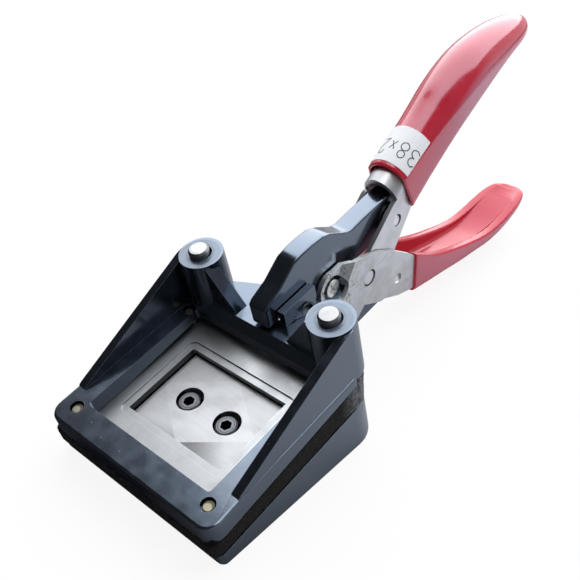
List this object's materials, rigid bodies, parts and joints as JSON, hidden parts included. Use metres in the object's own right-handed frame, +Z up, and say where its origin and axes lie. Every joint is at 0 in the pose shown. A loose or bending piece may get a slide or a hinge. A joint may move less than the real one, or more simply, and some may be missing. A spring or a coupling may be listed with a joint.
{
  "type": "photo punch",
  "caption": "Hand-held photo punch: a spring-lifted die frame on guide pins over a fixed punch, pressed by a lever and a squeeze trigger with red grips.",
  "frame": {"origin": "middle of the flat underside that the punch stands on", "axes": "+Z up, +Y from the die frame towards the handles, +X to the right as seen from the frame's front"},
  "size_m": [0.0676, 0.2069, 0.0913],
  "materials": {
    "black_enamel": "glossy black enamel",
    "satin_steel": "satin zinc-plated steel sheet",
    "bright_steel": "bright ground steel",
    "dark_steel": "blackened steel",
    "die_steel": "satin ground steel",
    "zinc": "zinc-plated steel",
    "brass": "pale brass",
    "foam": "matte dark foam rubber",
    "red_pvc": "glossy crimson soft PVC",
    "label": "white paper label"
  },
  "bodies": {
    "base": {"lower_casting": "black_enamel", "foam_pad": "foam", "punch_block": "bright_steel", "punch_screw_left": "dark_steel", "punch_screw_right": "dark_steel", "guide_pin_left": "bright_steel", "guide_pin_right": "bright_steel", "return_spring_left": "satin_steel", "return_spring_right": "satin_steel", "handle_channel": "satin_steel", "upper_grip": "red_pvc", "size_label": "label", "arm_pivot_pin": "satin_steel", "arm_spacer_left": "satin_steel", "arm_spacer_right": "satin_steel", "tail_rivet_front": "satin_steel", "tail_rivet_rear": "satin_steel", "trigger_pivot_pin": "satin_steel"},
    "die_frame": {"upper_frame": "black_enamel", "die_plate": "die_steel", "rim_screw_front_left": "brass", "rim_screw_front_right": "brass", "rim_screw_rear_left": "brass", "rim_screw_rear_right": "brass", "frame_pin": "dark_steel"},
    "arm": {"press_arm": "black_enamel", "drive_screw": "zinc", "drive_nut": "zinc"},
    "trigger": {"trigger_lever": "satin_steel", "trigger_grip": "red_pvc", "trigger_cross_pin": "satin_steel"}
  },
  "joints": [
    {"name": "trigger_squeeze", "type": "hinge", "parent": "base", "child": "trigger", "pos_m": [0, 0.05746, 0.03009], "axis": [1, 0, 0], "range_deg": [0, 9]},
    {"name": "arm_swing", "type": "hinge", "parent": "base", "child": "arm", "pos_m": [0, 0.07357, 0.04346], "axis": [1, 0, 0], "range_deg": [0, 4]},
    {"name": "frame_slide", "type": "slide", "parent": "base", "child": "die_frame", "axis": [0, 0.2045, -0.9789], "range_m": [0, 0.003], "stiffness_N_per_m": 1500, "springref_m": -0.004, "deforming": ["return_spring_left", "return_spring_right", "foam_pad"]}
  ],
  "couplings": [
    {"joint": "trigger_squeeze", "follows": "frame_slide", "rad_per_m": 49.45},
    {"joint": "arm_swing", "follows": "frame_slide", "rad_per_m": 21.645}
  ]
}
